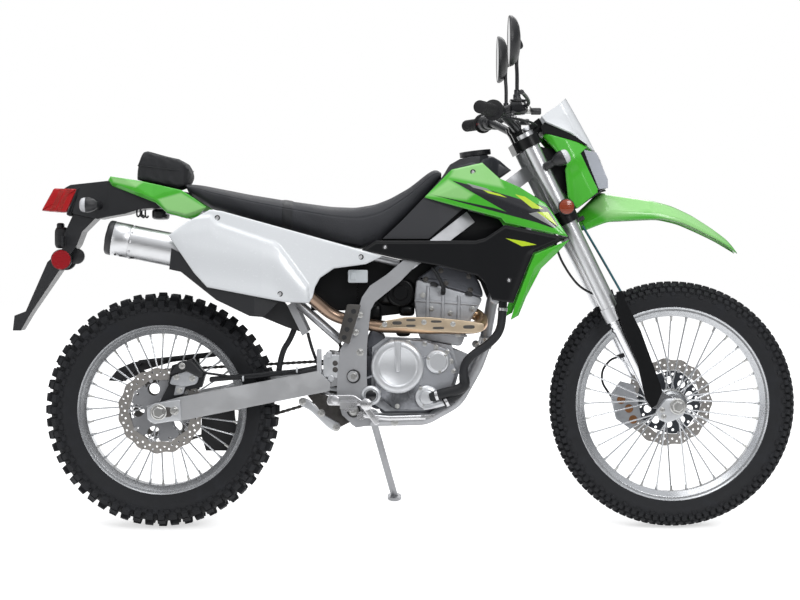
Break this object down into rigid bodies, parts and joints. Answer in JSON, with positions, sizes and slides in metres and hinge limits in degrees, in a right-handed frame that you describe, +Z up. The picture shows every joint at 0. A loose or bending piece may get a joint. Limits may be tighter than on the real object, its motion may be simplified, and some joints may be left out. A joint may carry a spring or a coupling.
{
  "type": "dual sport motorcycle",
  "caption": "Road and trail motorcycle with knobbly tyres, spoked wheels, long upside-down fork, high fender and open single-cylinder engine, parked leaning on its side stand.",
  "frame": {"origin": "on the floor, under the middle of the box round the leaning motorcycle", "axes": "+X forward, +Y to the rider's left, +Z up; the motorcycle leans 10 degrees towards +Y"},
  "size_m": [2.1917, 0.808, 1.4321],
  "materials": {
    "tyre": "matt black",
    "bright_alloy": "polished",
    "satin_alloy": "satin",
    "silver_paint": "satin silver",
    "steel": "brushed",
    "dark_steel": "dark, oiled",
    "pipe_steel": "heat tinted",
    "chrome": "hard chrome",
    "black_metal": "satin black",
    "rubber": "matt",
    "black_plastic": "fine grain",
    "grey_plastic": "fine grain",
    "white_plastic": "gloss",
    "green_plastic": "gloss",
    "seat_cover": "grained vinyl",
    "bag_fabric": "woven",
    "red_lens": "red lens",
    "amber_lens": "amber lens",
    "lamp_glass": "clear lens"
  },
  "bodies": {
    "chassis": {"airbox": "black_plastic", "chain_guards": "black_plastic", "coolant_hose": "rubber", "cylinder_head": "satin_alloy", "drive_chain": "dark_steel", "engine_cases": "satin_alloy", "engine_covers": "satin_alloy", "exhaust_header": "pipe_steel", "foot_controls": "dark_steel", "frame_cradle": "silver_paint", "fuel_cap": "black_plastic", "fuel_tank": "grey_plastic", "header_guard": "pipe_steel", "main_frame": "silver_paint", "plate_bracket": "black_plastic", "radiators": "black_metal", "rear_axle": "steel", "rear_caliper": "black_metal", "rear_fender": "black_plastic", "rear_indicators": "amber_lens", "rear_shock": "dark_steel", "seat": "seat_cover", "shroud_fins": "green_plastic", "side_covers": "white_plastic", "side_panels": "black_plastic", "silencer": "satin_alloy", "silencer_shield": "black_plastic", "subframe": "silver_paint", "swingarm": "satin_alloy", "tail_lamp": "red_lens", "tail_panels": "green_plastic", "tank_shrouds": "green_plastic", "tool_bag": "bag_fabric"},
    "front_wheel_body": {"front_tyre": "tyre", "front_wheel": "bright_alloy", "front_disc": "steel"},
    "rear_wheel_body": {"rear_tyre": "tyre", "rear_wheel": "bright_alloy", "rear_disc": "steel", "rear_sprocket": "dark_steel"},
    "fork": {"fork_clamps": "black_metal", "fork_outer_tubes": "satin_alloy", "fork_inner_tubes": "chrome", "front_axle": "steel", "fork_guards": "black_plastic", "front_caliper": "black_metal", "handlebar": "black_metal", "grips": "rubber", "bar_controls": "black_metal", "mirrors": "black_plastic", "headlight_cowl": "green_plastic", "headlight_lens": "lamp_glass", "screen": "white_plastic", "dash": "black_plastic", "front_fender": "green_plastic", "front_indicators": "amber_lens", "front_hoses": "rubber"},
    "side_stand": {"side_stand": "dark_steel"}
  },
  "joints": [
    {"name": "steering", "type": "hinge", "parent": "chassis", "child": "fork", "pos_m": [0.38944, -0.03574, 0.93226], "axis": [-0.4384, 0.1561, 0.8851], "range_deg": [-40, 40]},
    {"name": "front_wheel_spin", "type": "hinge", "parent": "fork", "child": "front_wheel_body", "pos_m": [0.75203, -0.14027, 0.33942], "axis": [0, 0.9848, -0.1736], "continuous": true},
    {"name": "rear_wheel_spin", "type": "hinge", "parent": "chassis", "child": "rear_wheel_body", "pos_m": [-0.678, -0.14304, 0.32369], "axis": [0, 0.9848, -0.1736], "continuous": true},
    {"name": "side_stand_fold", "type": "hinge", "parent": "chassis", "child": "side_stand", "pos_m": [-0.091, -0.02382, 0.27423], "axis": [0.175, 0.9156, 0.3621], "range_deg": [0, 104]}
  ]
}
